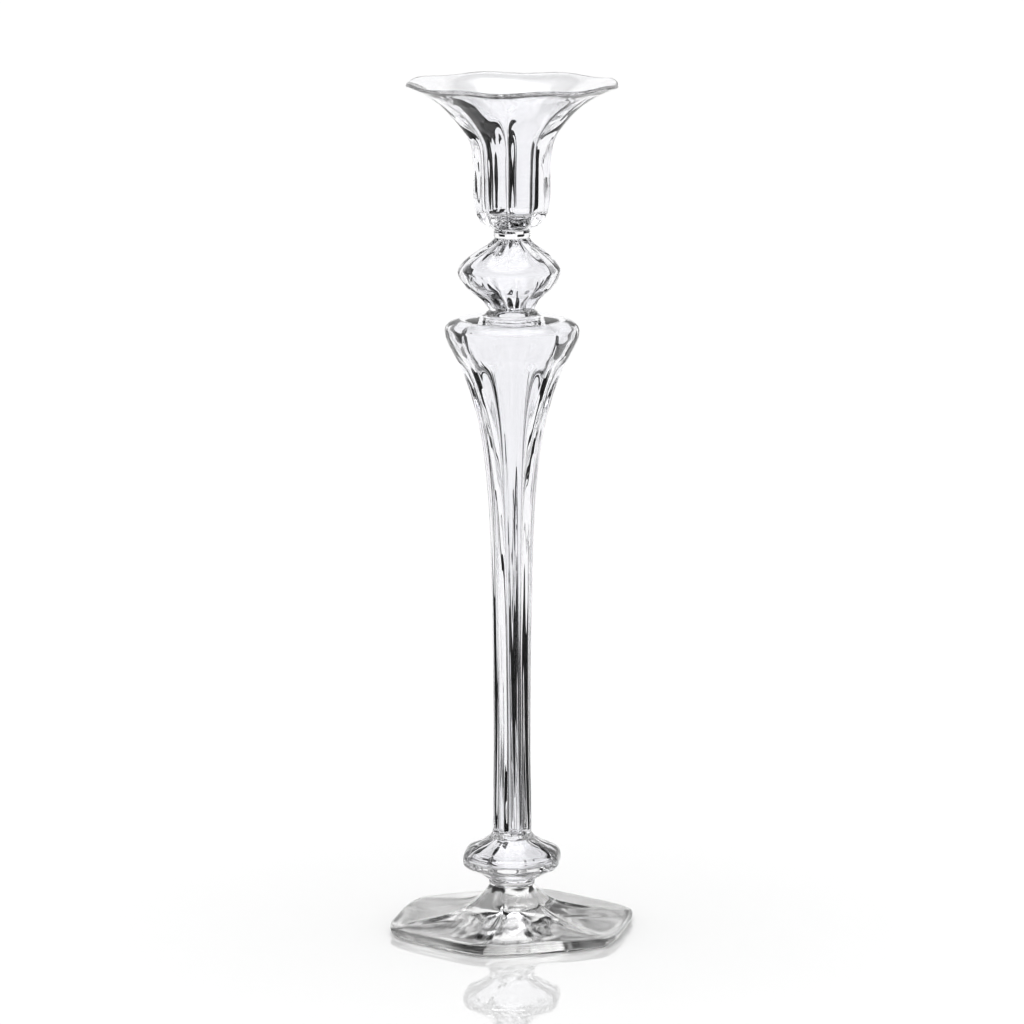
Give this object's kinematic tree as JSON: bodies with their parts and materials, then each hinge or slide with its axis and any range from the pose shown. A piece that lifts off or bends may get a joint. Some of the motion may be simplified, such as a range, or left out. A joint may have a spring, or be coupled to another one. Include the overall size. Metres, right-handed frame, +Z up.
{
  "type": "glass candlestick",
  "caption": "Tall clear glass candlestick: flared ribbed cup with a candle socket, hollow knop, fluted baluster stem, lower knop and a wide six-cornered foot.",
  "frame": {"origin": "middle of the foot's flat underside, on the table", "axes": "+Z up along the candle's axis; -Y is the front, towards a rib of the cup, knops and stem"},
  "size_m": [0.1002, 0.1022, 0.351],
  "materials": {
    "blown_glass": "clear fire-polished soda glass, about 3 mm thick",
    "collar_glass": "clear fire-polished solid glass",
    "foot_glass": "clear pressed glass with a fire-polished top and a ground base"
  },
  "bodies": {
    "root": {"candle_cup": "blown_glass", "cup_collar": "collar_glass", "upper_knop": "blown_glass", "shoulder_collar": "collar_glass", "baluster_stem": "blown_glass", "stem_collar": "collar_glass", "lower_knop": "blown_glass", "foot_collar": "collar_glass", "foot": "foot_glass"}
  },
  "joints": []
}
